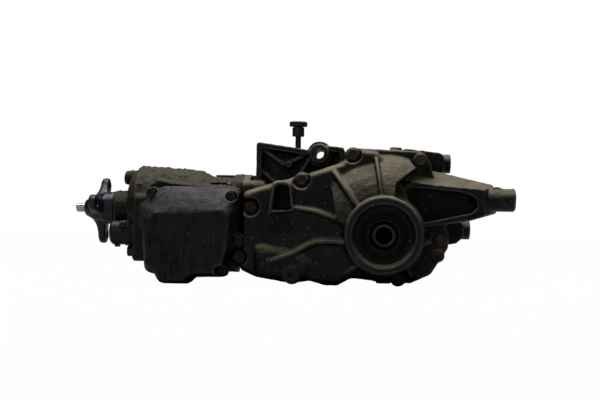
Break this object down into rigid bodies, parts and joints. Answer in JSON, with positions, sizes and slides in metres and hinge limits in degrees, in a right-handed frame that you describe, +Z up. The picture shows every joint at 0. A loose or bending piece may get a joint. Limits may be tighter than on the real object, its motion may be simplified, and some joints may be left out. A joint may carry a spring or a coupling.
{
  "type": "rear differential",
  "caption": "Rear final drive with hypoid gears and bevel differential, an electrically controlled clutch coupling at its front, a three-arm input flange and mounting lugs.",
  "frame": {"origin": "below the middle of the whole object, at the height of its lowest points; the axis of the two output shafts is at X 122 mm, Z 66 mm and the input axis is 31 mm higher", "axes": "+X to the rear of the car, away from the input flange; +Z up; -Y is the side with the control unit and the open output boss shown in the picture"},
  "size_m": [0.586, 0.21, 0.2175],
  "materials": {
    "housing_casting": "as-cast aluminium, dusty and stained with oil",
    "coupling_casting": "as-cast aluminium under dry road dust",
    "unit_casting": "die-cast aluminium lid, weathered",
    "rusty_bolt_steel": "zinc gone, brown rust",
    "screw_steel": "dark coated steel",
    "motor_can_steel": "drawn steel can, dull",
    "flange_steel": "forged steel, machined hub",
    "machined_steel": "turned or ground",
    "gear_steel": "case-hardened, oiled",
    "bearing_steel": "ground",
    "plate_steel": "stamped steel in oil",
    "sleeve_steel": "drawn tube, light rust",
    "case_iron": "cast, machined seats",
    "piston_aluminium": "turned",
    "seal_rubber": "black, oily",
    "black_plastic": "moulded, black"
  },
  "bodies": {
    "housing": {"carrier_housing": "housing_casting", "side_cover": "housing_casting", "coupling_housing": "coupling_casting", "control_unit": "unit_casting", "control_unit_screws": "screw_steel", "cover_bolts": "rusty_bolt_steel", "coupling_bolts": "rusty_bolt_steel", "sump_bolt": "rusty_bolt_steel", "pump_motor": "motor_can_steel", "pump_motor_screws": "screw_steel", "harness_guide": "black_plastic", "oil_plug": "screw_steel", "breather_stem": "black_plastic", "output_seal_near": "seal_rubber", "output_seal_far": "seal_rubber", "input_seal": "seal_rubber", "input_bearing_outer": "bearing_steel", "pinion_head_cup": "bearing_steel", "pinion_tail_cup": "bearing_steel", "bearing_cup_near": "bearing_steel", "bearing_cup_far": "bearing_steel", "lug_sleeve_upper": "sleeve_steel", "lug_sleeve_lower": "sleeve_steel"},
    "input": {"input_flange": "flange_steel", "dust_shield": "flange_steel", "input_shaft": "machined_steel", "clutch_drum": "plate_steel", "outer_plates": "plate_steel", "pressure_plate": "plate_steel", "input_bearing_inner": "bearing_steel"},
    "crown": {"differential_case": "case_iron", "ring_gear": "gear_steel", "ring_gear_bolts": "machined_steel", "cross_pin": "machined_steel", "bearing_cone_near": "bearing_steel", "bearing_cone_far": "bearing_steel"},
    "pinion": {"pinion_shaft": "gear_steel", "pinion_nut": "machined_steel", "clutch_hub": "machined_steel", "inner_plates": "plate_steel", "pinion_head_cone": "bearing_steel", "pinion_tail_cone": "bearing_steel"},
    "side_near": {"side_gear_near": "gear_steel"},
    "side_far": {"side_gear_far": "gear_steel"},
    "planet_top": {"planet_upper": "gear_steel"},
    "planet_bottom": {"planet_lower": "gear_steel"},
    "piston": {"clutch_piston": "piston_aluminium"},
    "pump": {"pump_rotor": "machined_steel"},
    "cap": {"breather_cap": "black_plastic"}
  },
  "joints": [
    {"name": "input_spin", "type": "hinge", "parent": "housing", "child": "input", "pos_m": [-0.258, 0, 0.097], "axis": [1, 0, 0], "continuous": true},
    {"name": "crown_spin", "type": "hinge", "parent": "housing", "child": "crown", "pos_m": [0.122, 0, 0.066], "axis": [0, 1, 0], "continuous": true},
    {"name": "pinion_spin", "type": "hinge", "parent": "housing", "child": "pinion", "pos_m": [0.022, 0, 0.097], "axis": [1, 0, 0], "continuous": true},
    {"name": "side_near_spin", "type": "hinge", "parent": "crown", "child": "side_near", "pos_m": [0.122, -0.02, 0.066], "axis": [0, 1, 0], "continuous": true},
    {"name": "side_far_spin", "type": "hinge", "parent": "crown", "child": "side_far", "pos_m": [0.122, 0.02, 0.066], "axis": [0, 1, 0], "continuous": true},
    {"name": "planet_top_spin", "type": "hinge", "parent": "crown", "child": "planet_top", "pos_m": [0.122, 0, 0.086], "axis": [0, 0, 1], "continuous": true},
    {"name": "planet_bottom_spin", "type": "hinge", "parent": "crown", "child": "planet_bottom", "pos_m": [0.122, 0, 0.046], "axis": [0, 0, 1], "continuous": true},
    {"name": "piston_slide", "type": "slide", "parent": "housing", "child": "piston", "axis": [-1, 0, 0], "range_m": [0, 0.0012], "stiffness_N_per_m": 3000},
    {"name": "pump_spin", "type": "hinge", "parent": "housing", "child": "pump", "pos_m": [-0.218, -0.025, 0.0644], "axis": [1, 0, 0], "continuous": true},
    {"name": "breather_lift", "type": "slide", "parent": "housing", "child": "cap", "axis": [0, 0, 1], "range_m": [0, 0.001]}
  ],
  "couplings": [
    {"joint": "pinion_spin", "follows": "crown_spin", "ratio": 1.5882},
    {"joint": "side_far_spin", "follows": "side_near_spin", "ratio": -1},
    {"joint": "planet_top_spin", "follows": "side_near_spin", "ratio": 1.6},
    {"joint": "planet_bottom_spin", "follows": "side_near_spin", "ratio": -1.6}
  ]
}
